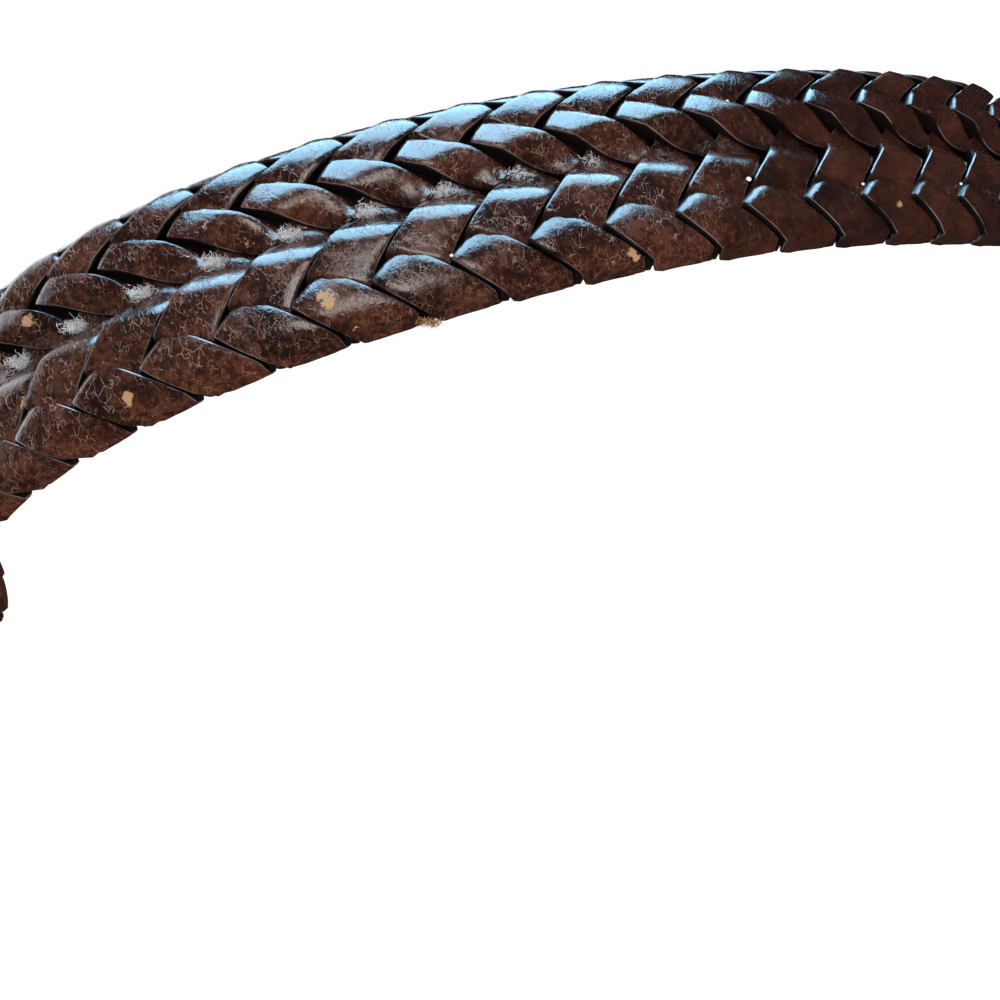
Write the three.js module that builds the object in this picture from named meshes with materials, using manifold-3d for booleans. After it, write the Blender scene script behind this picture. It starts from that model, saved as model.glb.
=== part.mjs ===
import * as THREE from 'three';
import Module from 'manifold-3d';
import { mergeVertices } from 'three/addons/utils/BufferGeometryUtils.js';

// A braided leather belt, buckled into a waist-shaped oval and standing on its lower edge.
// Millimetres, +Z up. The front of the oval faces -Y and the buckle is at the back.

// Driving dimensions of the loop. The oval is the line along the outer face of the braid.
const LOOP_HALF_LENGTH = 183.5;
const LOOP_HALF_DEPTH = 110;
const BELT_WIDTH = 38;
const BRAID_THICKNESS = 8;

// The braid: a flat tube of strands whose over and under rows change places at each ridge and valley.
const STRAND_PITCH = 13;
const RIDGE_HEIGHT = 10;
const VALLEY_DEPTH = 1.3;
const GROOVE_DEPTH = 1.1;
const CREST_SHARE = 0.35;
const SKEW_PER_ROW = -0.18;
const STRAIGHTENED_PITCHES = 3;

// Leather walls and the clearance between pieces that touch.
const WALL = 2;
const STRAP_THICKNESS = 3.5;
const GAP = 0.3;
const NARROW_WIDTH = 27;
const OUTLINE_STEP = 6;

// The buckle, placed by the middle of its bar along the loop.
const BAR_PLACE = 452;
const BAR_RADIUS = 2;
const FRAME_LENGTH = 30;
const FRAME_WIDTH = 37;
const FRAME_SIDE = 3.7;
const FRAME_THICKNESS = 4;
const FRAME_RISE = 3;
const FRAME_CORNER = 5;
const PRONG_RADIUS = 1.5;
const PRONG_BEND = [
	{ back: 0, out: 0 },
	{ back: 2, out: 2.4 },
	{ back: 4.6, out: 6 },
	{ back: 8, out: 8.2 },
	{ back: 15, out: 8 },
];
const PRONG_OVERHANG = 1;

// The tab folded round the bar, and the tongue that passes through the frame.
const TAB_NECK = 7;
const TAB_SHOULDER = 12;
const POCKET_FLOOR = 20;
const TAB_LENGTH = 48;
const SLEEVE_START = 366;
const SLEEVE_LENGTH = 28;
const SHOULDER_LENGTH = 10;
const TONGUE_TIP = 522;
const TIP_LENGTH = 17;
const BLUNT_TIP = 0.2;
const HOLE_LENGTH = 9.5;
const HOLE_WIDTH = 4.4;
const HOLE_SPACING = 20;
const HOLES = 5;
const HELD_HOLE = 2;

const MID_HEIGHT = BELT_WIDTH / 2;
const BRAID_MIDDLE = BRAID_THICKNESS / 2;
const SLEEVE_HALF = BRAID_MIDDLE + GAP + WALL;
const FOLD_RADIUS = BAR_RADIUS + GAP + WALL;

// The tongue lies inside the frame's end, then outside the folded tab.
const FRAME_END_DEPTH = BRAID_MIDDLE - FRAME_RISE;
const UNDER_FRAME = FRAME_END_DEPTH + (FRAME_THICKNESS + STRAP_THICKNESS) / 2 + GAP;
const OVER_FOLD = BRAID_MIDDLE - FOLD_RADIUS - GAP - STRAP_THICKNESS / 2;
const OVER_TAB = BRAID_MIDDLE - SLEEVE_HALF - GAP - STRAP_THICKNESS / 2;
const OUTER_REACH = STRAP_THICKNESS / 2 - OVER_TAB;

const wasm = await Module();
wasm.setup();

// The loop's own coordinates: place along it, depth in from its outer face, and height.
const LOOP_CENTRE_Y = -OUTER_REACH / 2;
const loop = new THREE.EllipseCurve(
	0, LOOP_CENTRE_Y, LOOP_HALF_LENGTH, LOOP_HALF_DEPTH, -Math.PI / 2, 1.5 * Math.PI );
loop.arcLengthDivisions = 1440;
const LOOP_LENGTH = loop.getLength();

function frameAt( place ) {

	const share = THREE.MathUtils.euclideanModulo( place / LOOP_LENGTH, 1 );
	const point = loop.getPointAt( share );
	const along = loop.getTangentAt( share );
	return { point, along, inward: new THREE.Vector2( - along.y, along.x ) };

}

function onLoop( place, depth, height ) {

	const { point, inward } = frameAt( place );
	return new THREE.Vector3( point.x + inward.x * depth, point.y + inward.y * depth, height );

}

// Bends a geometry made straight, with X along the loop, Y inward and Z up, onto the loop.
function bend( geometry ) {

	const positions = geometry.attributes.position;
	for ( let i = 0; i < positions.count; i ++ ) {

		const bent = onLoop( positions.getX( i ), positions.getY( i ), positions.getZ( i ) );
		positions.setXYZ( i, bent.x, bent.y, bent.z );

	}

	return geometry;

}

function toSolid( geometry ) {

	const bare = geometry.clone();
	bare.deleteAttribute( 'normal' );
	bare.deleteAttribute( 'uv' );
	const merged = mergeVertices( bare, 1e-4 );
	return new wasm.Manifold( new wasm.Mesh( {
		numProp: 3,
		vertProperties: new Float32Array( merged.attributes.position.array ),
		triVerts: new Uint32Array( merged.index.array ),
	} ) );

}

function toGeometry( solid ) {

	const mesh = solid.getMesh();
	const geometry = new THREE.BufferGeometry();
	geometry.setAttribute( 'position', new THREE.BufferAttribute( mesh.vertProperties, 3 ) );
	geometry.setIndex( new THREE.BufferAttribute( mesh.triVerts, 1 ) );
	geometry.computeVertexNormals();
	return geometry;

}

function fromFaces( points, faces ) {

	const geometry = new THREE.BufferGeometry().setFromPoints( points );
	geometry.setIndex( faces );
	geometry.computeVertexNormals();
	return geometry;

}

const smooth = ( x, low, high ) => THREE.MathUtils.smoothstep( x, low, high );

// The braid's outline. Rows are counted round it from the outer valley: 1 is a ridge, 2 an edge,
// 3 an inner ridge and 4 the inner valley, and negative rows lie below the middle.
const ROWS_ROUND = [ 0, 0.5, 1, 1.35, 1.7, 2, 2.3, 2.65, 3, 3.5, 4 ];

function outlinePoint( row, shrink ) {

	const side = Math.sign( row );
	const outer = Math.abs( row ) <= 2;
	const fromValley = outer ? Math.abs( row ) : 4 - Math.abs( row );
	const face = outer ? - 1 : 1;
	const thin = BRAID_MIDDLE - shrink;
	if ( fromValley < 1 ) {

		const valley = VALLEY_DEPTH * ( 1 + Math.cos( Math.PI * fromValley ) ) / 2;
		return { depth: BRAID_MIDDLE + face * ( thin - valley ), rise: side * RIDGE_HEIGHT * fromValley };

	}

	const turn = ( fromValley - 1 ) * Math.PI / 2;
	const lobe = BELT_WIDTH / 2 - RIDGE_HEIGHT - shrink;
	return {
		depth: BRAID_MIDDLE + face * thin * Math.cos( turn ),
		rise: side * ( RIDGE_HEIGHT + lobe * Math.sin( turn ) ),
	};

}

// How far a groove between strands has run along the belt by the time it reaches a row.
function grooveShift( row ) {

	const zigzag = Math.abs( THREE.MathUtils.euclideanModulo( row + 1, 2 ) - 1 );
	const skewed = Math.abs( row ) <= 2 ? row : Math.sign( row ) * ( 4 - Math.abs( row ) );
	return STRAND_PITCH * ( zigzag + SKEW_PER_ROW * skewed );

}

function braidGeometry( start, end ) {

	const rows = [ ...ROWS_ROUND, ...ROWS_ROUND.slice( 1, - 1 ).reverse().map( row => - row ) ];
	const strands = Math.round( ( end - start ) / STRAND_PITCH );
	const rings = strands * 2;
	const points = [];
	for ( let ring = 0; ring <= rings; ring ++ ) {

		// Each strand starts in a groove and has its crest soon after it.
		const passed = Math.floor( ring / 2 ) + ( ring % 2 ) * CREST_SHARE;
		const place = THREE.MathUtils.lerp( start, end, passed / strands );
		const fromEnd = Math.min( place - start, end - place ) / STRAND_PITCH;
		const zigzag = smooth( fromEnd, 0, STRAIGHTENED_PITCHES );
		const shrink = ring % 2 ? 0 : GROOVE_DEPTH;
		for ( const row of rows ) {

			const { depth, rise } = outlinePoint( row, shrink );
			points.push( onLoop( place + zigzag * grooveShift( row ), depth, MID_HEIGHT + rise ) );

		}

	}

	const round = rows.length;
	const faces = [];
	for ( let ring = 0; ring < rings; ring ++ ) {

		for ( let i = 0; i < round; i ++ ) {

			const a = ring * round + i;
			const b = ring * round + ( i + 1 ) % round;
			faces.push( a, a + round, b, b, a + round, b + round );

		}

	}

	points.push( onLoop( start, BRAID_MIDDLE, MID_HEIGHT ), onLoop( end, BRAID_MIDDLE, MID_HEIGHT ) );
	const last = rings * round;
	for ( let i = 0; i < round; i ++ ) {

		const next = ( i + 1 ) % round;
		faces.push( points.length - 2, i, next, points.length - 1, last + next, last + i );

	}

	return fromFaces( points, faces );

}

// A strap piece: its plan outline, as places and depths, carried from its lower to its upper edge.
function strapGeometry( outline, holes, halfWidthAt ) {

	const flat = ( { place, depth } ) => {

		const point = onLoop( place, depth, 0 );
		return new THREE.Vector2( point.x, point.y );

	};
	const contour = outline.map( flat );
	const cuts = holes.map( hole => hole.map( flat ) );
	const all = [ outline, ...holes ].flat();
	const corners = all.flatMap( spot => [ -1, 1 ].map( side =>
		onLoop( spot.place, spot.depth, MID_HEIGHT + side * halfWidthAt( spot.place ) ) ) );

	const faces = [];
	for ( const [ a, b, c ] of THREE.ShapeUtils.triangulateShape( contour, cuts ) ) {

		faces.push( 2 * a, 2 * c, 2 * b, 2 * a + 1, 2 * b + 1, 2 * c + 1 );

	}

	let first = 0;
	for ( const ring of [ outline, ...holes ] ) {

		for ( let i = 0; i < ring.length; i ++ ) {

			const a = 2 * ( first + i );
			const b = 2 * ( first + ( i + 1 ) % ring.length );
			faces.push( a, b, b + 1, a, b + 1, a + 1 );

		}

		first += ring.length;

	}

	return fromFaces( corners, faces );

}

// Spots along a line of the outline, from one place to another, at the depth that a function gives.
function run( from, to, depthAt, step = OUTLINE_STEP ) {

	const count = Math.max( 1, Math.round( Math.abs( to - from ) / step ) );
	return Array.from( { length: count + 1 }, ( _, i ) => {

		const place = THREE.MathUtils.lerp( from, to, i / count );
		return { place, depth: depthAt( place ) };

	} );

}

function arc( place, depth, radius, from, to, count ) {

	return Array.from( { length: count }, ( _, i ) => {

		const angle = THREE.MathUtils.lerp( from, to, i / ( count - 1 ) );
		return { place: place + radius * Math.cos( angle ), depth: depth + radius * Math.sin( angle ) };

	} );

}

// A box or rod lying along the depth direction at a place on the loop, for cutting holes.
function cutterAt( geometry, place, depth ) {

	const { point, along, inward } = frameAt( place );
	const origin = new THREE.Vector3( point.x + inward.x * depth, point.y + inward.y * depth, MID_HEIGHT );
	const turned = new THREE.Matrix4().makeBasis(
		new THREE.Vector3( along.x, along.y, 0 ),
		new THREE.Vector3( inward.x, inward.y, 0 ),
		new THREE.Vector3( 0, 0, 1 ) ).setPosition( origin );
	return toSolid( geometry.applyMatrix4( turned ) );

}

function tabGeometry() {

	const pocketFloor = BAR_PLACE + POCKET_FLOOR;
	const mouth = BAR_PLACE + TAB_LENGTH;
	const half = place => THREE.MathUtils.lerp(
		FOLD_RADIUS, SLEEVE_HALF, smooth( place - BAR_PLACE, 0, POCKET_FLOOR ) );
	const pocketHalf = SLEEVE_HALF - WALL;
	const outline = [
		...arc( BAR_PLACE, BRAID_MIDDLE, FOLD_RADIUS, Math.PI / 2, 1.5 * Math.PI, 9 ),
		...run( BAR_PLACE + OUTLINE_STEP, mouth, place => BRAID_MIDDLE - half( place ) ),
		...run( mouth, pocketFloor, () => BRAID_MIDDLE - pocketHalf ),
		...run( pocketFloor, mouth, () => BRAID_MIDDLE + pocketHalf ),
		...run( mouth, BAR_PLACE + OUTLINE_STEP, place => BRAID_MIDDLE + half( place ) ),
	];
	const barHole = arc( BAR_PLACE, BRAID_MIDDLE, BAR_RADIUS + GAP, 2 * Math.PI, Math.PI / 8, 16 );
	const halfWidth = place => THREE.MathUtils.lerp(
		NARROW_WIDTH, BELT_WIDTH, smooth( place - BAR_PLACE, TAB_NECK, TAB_SHOULDER ) ) / 2;
	const slotLength = FOLD_RADIUS + BAR_RADIUS;
	const slot = new THREE.BoxGeometry( 2 * slotLength, 2 * FOLD_RADIUS, HOLE_WIDTH );
	return toGeometry( toSolid( strapGeometry( outline, [ barHole ], halfWidth ) )
		.subtract( cutterAt( slot, BAR_PLACE - BAR_RADIUS, BRAID_MIDDLE - BAR_RADIUS ) ) );

}

function tongueDepth( place ) {

	const frameEnd = BAR_PLACE - FRAME_LENGTH;
	const strapStart = SLEEVE_START + SLEEVE_LENGTH + SHOULDER_LENGTH;
	const sunk = THREE.MathUtils.lerp( BRAID_MIDDLE, UNDER_FRAME, smooth( place, strapStart, frameEnd ) );
	const raised = THREE.MathUtils.lerp( sunk, OVER_FOLD, smooth( place, frameEnd, BAR_PLACE ) );
	return THREE.MathUtils.lerp( raised, OVER_TAB, smooth( place, BAR_PLACE, BAR_PLACE + POCKET_FLOOR ) );

}

function tongueGeometry() {

	const sleeveEnd = SLEEVE_START + SLEEVE_LENGTH;
	const thinned = place => smooth( place, sleeveEnd - WALL, sleeveEnd + SHOULDER_LENGTH );
	const half = place => THREE.MathUtils.lerp( SLEEVE_HALF, STRAP_THICKNESS / 2, thinned( place ) );
	const tipStart = TONGUE_TIP - TIP_LENGTH;
	const outerFace = place => tongueDepth( place ) - half( place );
	const outer = [
		...run( SLEEVE_START, tipStart, outerFace, OUTLINE_STEP / 2 ),
		...run( tipStart + OUTLINE_STEP / 3, TONGUE_TIP, outerFace, OUTLINE_STEP / 3 ),
	];
	const inner = outer.map( ( { place } ) => ( { place, depth: tongueDepth( place ) + half( place ) } ) );
	inner.reverse();
	const pocketHalf = SLEEVE_HALF - WALL;
	const outline = [
		...outer,
		...inner,
		...run( SLEEVE_START, sleeveEnd - WALL, () => BRAID_MIDDLE + pocketHalf ),
		...run( sleeveEnd - WALL, SLEEVE_START, () => BRAID_MIDDLE - pocketHalf ),
	];
	const halfWidth = place => {

		const narrowed = smooth( place, sleeveEnd, sleeveEnd + 2 * SHOULDER_LENGTH );
		const full = THREE.MathUtils.lerp( BELT_WIDTH, NARROW_WIDTH, narrowed ) / 2;
		const tip = Math.max( 0, place - tipStart ) / TIP_LENGTH;
		return full * Math.max( BLUNT_TIP, Math.sqrt( 1 - tip * tip ) );

	};
	let solid = toSolid( strapGeometry( outline, [], halfWidth ) );
	const middleHole = BAR_PLACE - HOLE_LENGTH / 2 - BAR_RADIUS / 2;
	for ( let i = 0; i < HOLES; i ++ ) {

		const place = middleHole + ( i - HELD_HOLE ) * HOLE_SPACING;
		solid = solid.subtract( cutterAt( holeCutter(), place, tongueDepth( place ) ) );

	}

	return toGeometry( solid );

}

function holeCutter() {

	const straight = ( HOLE_LENGTH - HOLE_WIDTH ) / 2;
	const shape = new THREE.Shape();
	shape.absarc( straight, 0, HOLE_WIDTH / 2, - Math.PI / 2, Math.PI / 2 );
	shape.absarc( - straight, 0, HOLE_WIDTH / 2, Math.PI / 2, 1.5 * Math.PI );
	const depth = 6 * STRAP_THICKNESS;
	return new THREE.ExtrudeGeometry( shape, { depth, bevelEnabled: false, curveSegments: 5 } )
		.translate( 0, 0, - depth / 2 ).rotateX( Math.PI / 2 );

}

function buckleGeometry() {

	const half = FRAME_WIDTH / 2;
	const reach = FRAME_LENGTH + FRAME_SIDE / 2;
	const inner = FRAME_SIDE - reach;
	const bow = new THREE.Shape();
	bow.moveTo( BAR_RADIUS, - half );
	bow.lineTo( BAR_RADIUS, - half + FRAME_SIDE );
	bow.lineTo( inner, - half + FRAME_SIDE );
	bow.lineTo( inner, half - FRAME_SIDE );
	bow.lineTo( BAR_RADIUS, half - FRAME_SIDE );
	bow.lineTo( BAR_RADIUS, half );
	bow.lineTo( FRAME_CORNER - reach, half );
	bow.absarc( FRAME_CORNER - reach, half - FRAME_CORNER, FRAME_CORNER, Math.PI / 2, Math.PI );
	bow.absarc( FRAME_CORNER - reach, FRAME_CORNER - half, FRAME_CORNER, Math.PI, 1.5 * Math.PI );
	const thickness = { depth: FRAME_THICKNESS, bevelEnabled: false, curveSegments: 6 };
	const frame = new THREE.ExtrudeGeometry( bow, thickness )
		.translate( 0, 0, - FRAME_THICKNESS / 2 ).rotateX( Math.PI / 2 );
	const slope = FRAME_RISE / FRAME_LENGTH;
	const lean = new THREE.Matrix4().set( 1, 0, 0, 0, slope, 1, 0, 0, 0, 0, 1, 0, 0, 0, 0, 1 );
	const bar = new THREE.CylinderGeometry( BAR_RADIUS, BAR_RADIUS, FRAME_WIDTH - FRAME_SIDE, 16 );
	bar.rotateX( Math.PI / 2 );
	const seat = {
		back: FRAME_LENGTH + PRONG_OVERHANG,
		out: FRAME_RISE + FRAME_THICKNESS / 2 + PRONG_RADIUS - GAP,
	};
	const prongLine = new THREE.CatmullRomCurve3(
		[ ...PRONG_BEND, seat ].map( ( { back, out } ) => new THREE.Vector3( - back, - out, 0 ) ) );
	const round = new THREE.Shape().absarc( 0, 0, PRONG_RADIUS, 0, 2 * Math.PI );
	const prong = new THREE.ExtrudeGeometry( round, { steps: 18, curveSegments: 5, extrudePath: prongLine } );
	return toGeometry( toSolid( frame.applyMatrix4( lean ) ).add( toSolid( bar ) ).add( toSolid( prong ) ) )
		.translate( BAR_PLACE, BRAID_MIDDLE, MID_HEIGHT );

}

const braid = new THREE.MeshStandardMaterial( { color: 0x4a2a22, roughness: 0.4 } );
const tabLeather = new THREE.MeshStandardMaterial( { color: 0x40241d, roughness: 0.45 } );
const metal = new THREE.MeshStandardMaterial( { color: 0x9a8350, roughness: 0.35, metalness: 1 } );

function piece( name, geometry, material ) {

	const mesh = new THREE.Mesh( geometry, material );
	mesh.name = name;
	return mesh;

}

const braidStart = BAR_PLACE + POCKET_FLOOR + GAP - LOOP_LENGTH;
const braidEnd = SLEEVE_START + SLEEVE_LENGTH - WALL - GAP;

const belt = new THREE.Group();
belt.add( piece( 'braided_band', braidGeometry( braidStart, braidEnd ), braid ) );
belt.add( piece( 'buckle_tab', tabGeometry(), tabLeather ) );
belt.add( piece( 'tongue', tongueGeometry(), tabLeather ) );
belt.add( piece( 'buckle', bend( buckleGeometry() ), metal ) );

export default belt;
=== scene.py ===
"""A heavy braided leather belt, buckled into an oval and standing on its lower edge.

The braid is laid from sixteen flat leather strands, eight running each way, each passing over two and under
two. Lengths are in metres, and the front of the oval faces -Y.
"""

import logging
import math
from collections.abc import Callable, Sequence
from dataclasses import dataclass, field
from enum import Enum

import bmesh
import bpy
import numpy as np
from mathutils import Matrix, Vector


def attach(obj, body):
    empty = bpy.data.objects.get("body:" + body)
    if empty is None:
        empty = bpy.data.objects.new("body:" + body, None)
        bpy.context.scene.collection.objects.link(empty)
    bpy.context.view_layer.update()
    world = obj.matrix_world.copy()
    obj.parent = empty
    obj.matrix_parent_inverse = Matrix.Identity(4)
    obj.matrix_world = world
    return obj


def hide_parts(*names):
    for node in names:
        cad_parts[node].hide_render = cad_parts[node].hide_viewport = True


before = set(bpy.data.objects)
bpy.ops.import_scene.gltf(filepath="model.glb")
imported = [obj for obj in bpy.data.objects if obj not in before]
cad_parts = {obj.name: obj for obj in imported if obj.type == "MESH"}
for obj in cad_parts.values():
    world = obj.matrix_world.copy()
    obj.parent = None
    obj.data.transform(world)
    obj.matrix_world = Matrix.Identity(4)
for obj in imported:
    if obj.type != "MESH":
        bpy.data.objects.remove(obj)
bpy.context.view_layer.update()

MM = 0.001
Colour = tuple[float, float, float]
BODY = "root"
logger = logging.getLogger("belt")


class Way(Enum):
    """Which way a strand climbs the belt as it runs along it."""

    RISING = 1
    FALLING = -1


@dataclass(frozen=True)
class Loop:
    """The oval that the belt lies along, measured on the braid's outer face.

    Places are distances along it from the middle of the front, growing towards +X. Depths are measured
    inward.
    """

    half_length: float = 183.5 * MM
    half_depth: float = 110.0 * MM
    centre_y: float = -3.05 * MM
    lean: float = -0.11
    lean_place: float = -10.0 * MM
    lean_reach: float = 45.0 * MM
    samples: int = 7200

    def table(self) -> tuple[np.ndarray, np.ndarray]:
        """Returns the turns of the oval's angle and the places that belong to them.

        Returns:
            The turns, and the places, which grow with them.
        """
        turns = np.linspace(-2.0, 2.0, 4 * self.samples + 1) * 2 * math.pi
        x, y = self.half_length * np.sin(turns), -self.half_depth * np.cos(turns)
        places = np.concatenate([[0.0], np.cumsum(np.hypot(np.diff(x), np.diff(y)))])
        return turns, places - np.interp(0.0, turns, places)

    def points(self, place: np.ndarray, depth: np.ndarray, height: np.ndarray) -> np.ndarray:
        """Turns places, depths and heights into points.

        Args:
            place: distances along the loop.
            depth: distances in from the outer face.
            height: heights above the surface that the belt stands on.

        Returns:
            One row of x, y and z for each entry.
        """
        lean = self.lean * np.exp(-((place - self.lean_place) / self.lean_reach) ** 2)
        deep, rise = depth - 4 * MM, height - 19 * MM
        depth = 4 * MM + deep * np.cos(lean) - rise * np.sin(lean)
        height = 19 * MM + rise * np.cos(lean) + deep * np.sin(lean)
        turns, places = self.table()
        turn = np.interp(place, places, turns)
        normal_x = np.sin(turn) / self.half_length
        normal_y = -np.cos(turn) / self.half_depth
        size = np.hypot(normal_x, normal_y)
        x = self.half_length * np.sin(turn) - depth * normal_x / size
        y = self.centre_y - self.half_depth * np.cos(turn) - depth * normal_y / size
        return np.stack([x, y, np.broadcast_to(height, x.shape)], axis=-1)


@dataclass(frozen=True)
class Section:
    """The flattened tube that the strands lie on, seen across the belt.

    Spots count round it from the outer valley: 1 is an outer ridge, 2 an edge, 3 an inner ridge and 4 the
    inner valley. Rows of the braid count the same way, but lie a little turned: spots lists where each row
    begins.
    """

    width: float = 38.0 * MM
    thickness: float = 9.2 * MM
    ridge_height: float = 10.0 * MM
    valley_rise: float = -2.0 * MM
    outer_valley: float = 2.3 * MM
    inner_valley: float = 0.5 * MM
    valley_reach: float = 0.62
    layer: float = 2.4 * MM
    spots: tuple[float, ...] = (-4.0, -2.8, -1.6, -1.0, 0.0, 1.0, 2.42, 3.25, 4.0)
    samples: int = 4001

    def spot(self, row: np.ndarray) -> np.ndarray:
        """Returns the spots round the section at which rows from -4 to 4 lie.

        Args:
            row: rows from -4 to 4.

        Returns:
            The spots, one for each row.
        """
        spread = [np.interp(row + ease, np.arange(-5.0, 6.0), (-4.75, *self.spots, 5.2))
                  for ease in np.linspace(-0.2, 0.2, 9)]
        return np.mean(spread, axis=0)

    def outline(self) -> tuple[np.ndarray, np.ndarray, np.ndarray, np.ndarray]:
        """Returns rows, with the depth and rise of the middle surface and the depth of its valleys.

        Returns:
            The rows, and for each its depth, its rise and how deep the valley is there.
        """
        rows = np.linspace(-4.0, 4.0, self.samples)
        spots = self.spot(rows)
        from_valley = np.where(np.abs(spots) <= 2, np.abs(spots), 4 - np.abs(spots))
        face = np.where(np.abs(spots) <= 2, -1.0, 1.0)
        half = self.thickness / 2 - self.layer
        lobe = self.width / 2 - self.ridge_height - self.layer
        turn = np.clip(from_valley - 1, 0, 1) * math.pi / 2
        valley = np.where(face < 0, self.outer_valley, -self.inner_valley)
        valley = valley * (1 + np.cos(math.pi * np.clip(from_valley / self.valley_reach, 0, 1))) / 2
        depth = self.thickness / 2 + face * half * np.cos(turn)
        rise = np.sign(rows) * (self.ridge_height * np.clip(from_valley, 0, 1) + lobe * np.sin(turn))
        rise += self.valley_rise * (1 - (from_valley / 2) ** 2)
        return rows, depth, rise, valley

    def lifted(self, row: np.ndarray, lift: np.ndarray) -> tuple[np.ndarray, np.ndarray]:
        """Finds points at a height over the middle surface.

        Args:
            row: rows round the section, of any turn.
            lift: heights out from the surface.

        Returns:
            The depths and the rises of the points.
        """
        rows, depth, rise, valley = self.outline()
        out_depth, out_rise = -np.gradient(rise, rows), np.gradient(depth, rows)
        size = np.hypot(out_depth, out_rise)
        row = (row + 4) % 8 - 4
        out_depth, out_rise = (np.interp(row, rows, part / size) for part in (out_depth, out_rise))
        return (np.interp(row, rows, depth + valley) + lift * out_depth,
                np.interp(row, rows, rise) + lift * out_rise)

    def slope(self, row: np.ndarray) -> tuple[np.ndarray, np.ndarray]:
        """Returns how depth and rise change along the surface at each row.

        Args:
            row: rows round the section, of any turn.

        Returns:
            The change of depth and the change of rise in one row.
        """
        rows, depth, rise, valley = self.outline()
        row = (row + 4) % 8 - 4
        return (np.interp(row, rows, np.gradient(depth + valley, rows)),
                np.interp(row, rows, np.gradient(rise, rows)))

    def row_length(self, row: np.ndarray) -> np.ndarray:
        """Returns the distance round the section that one row takes up at each row.

        Args:
            row: rows round the section, of any turn.

        Returns:
            The smoothed lengths.
        """
        rows, depth, rise, _ = self.outline()
        lengths = np.hypot(np.gradient(depth, rows), np.gradient(rise, rows))
        smooth = np.convolve(np.pad(lengths, 200, mode="wrap"), np.ones(401) / 401, mode="valid")
        return np.interp((row + 4) % 8 - 4, rows, smooth)


@dataclass(frozen=True)
class Lace:
    """The cut leather lace that a strand is made of, seen across."""

    half_thickness: float = 1.2 * MM
    squeeze: float = 0.42
    crown: float = 0.12 * MM
    tilt: float = 0.11
    stiffness: float = 0.75
    arch: float = 0.5 * MM

    def stations(self) -> np.ndarray:
        """Returns the corners round the lace: across, up and whether they lie on a cut side.

        Returns:
            One row for each corner, once round.
        """
        top = [(across, 1.0, 0.0) for across in (-0.91, -0.6, -0.3, 0.0, 0.3, 0.6, 0.91)]
        side = [(0.965, 0.93, 0.3), (0.995, 0.7, 1.0), (1.0, 0.35, 1.0), (0.965, 0.02, 1.0),
                (1.0, -0.3, 1.0), (0.99, -0.7, 1.0), (0.93, -1.0, 0.3)]
        left = [(-across, up, cut) for across, up, cut in reversed(side)]
        return np.array([*top, *side, (0.0, -1.0, 0.0), *left])


@dataclass(frozen=True)
class Lay:
    """How the strands of one way lie in the braid.

    A cover is the share of the pitch that a strand takes up. A reach is how far past a change of rows it
    stays over the others, and a sag is how far it sinks.
    """

    way: Way
    start_place: float
    cover: float
    edge_cover: float
    ridge_reach: float
    edge_reach: float
    valley_reach: float
    valley_sag: float
    curl: float
    lag: float
    rounding: float
    taper: float


RISING = Lay(Way.RISING, start_place=15.03 * MM, cover=0.96, edge_cover=0.98, ridge_reach=0.36,
             edge_reach=-0.1, valley_reach=0.4, valley_sag=0.9 * MM, curl=0.5 * MM,
             lag=0.29, rounding=0.0, taper=0.0)
FALLING = Lay(Way.FALLING, start_place=8.53 * MM, cover=0.9, edge_cover=1.05, ridge_reach=-0.04,
              edge_reach=0.1, valley_reach=0.35, valley_sag=0.1 * MM, curl=1.0 * MM,
              lag=0.25, rounding=0.09, taper=0.14)


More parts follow.
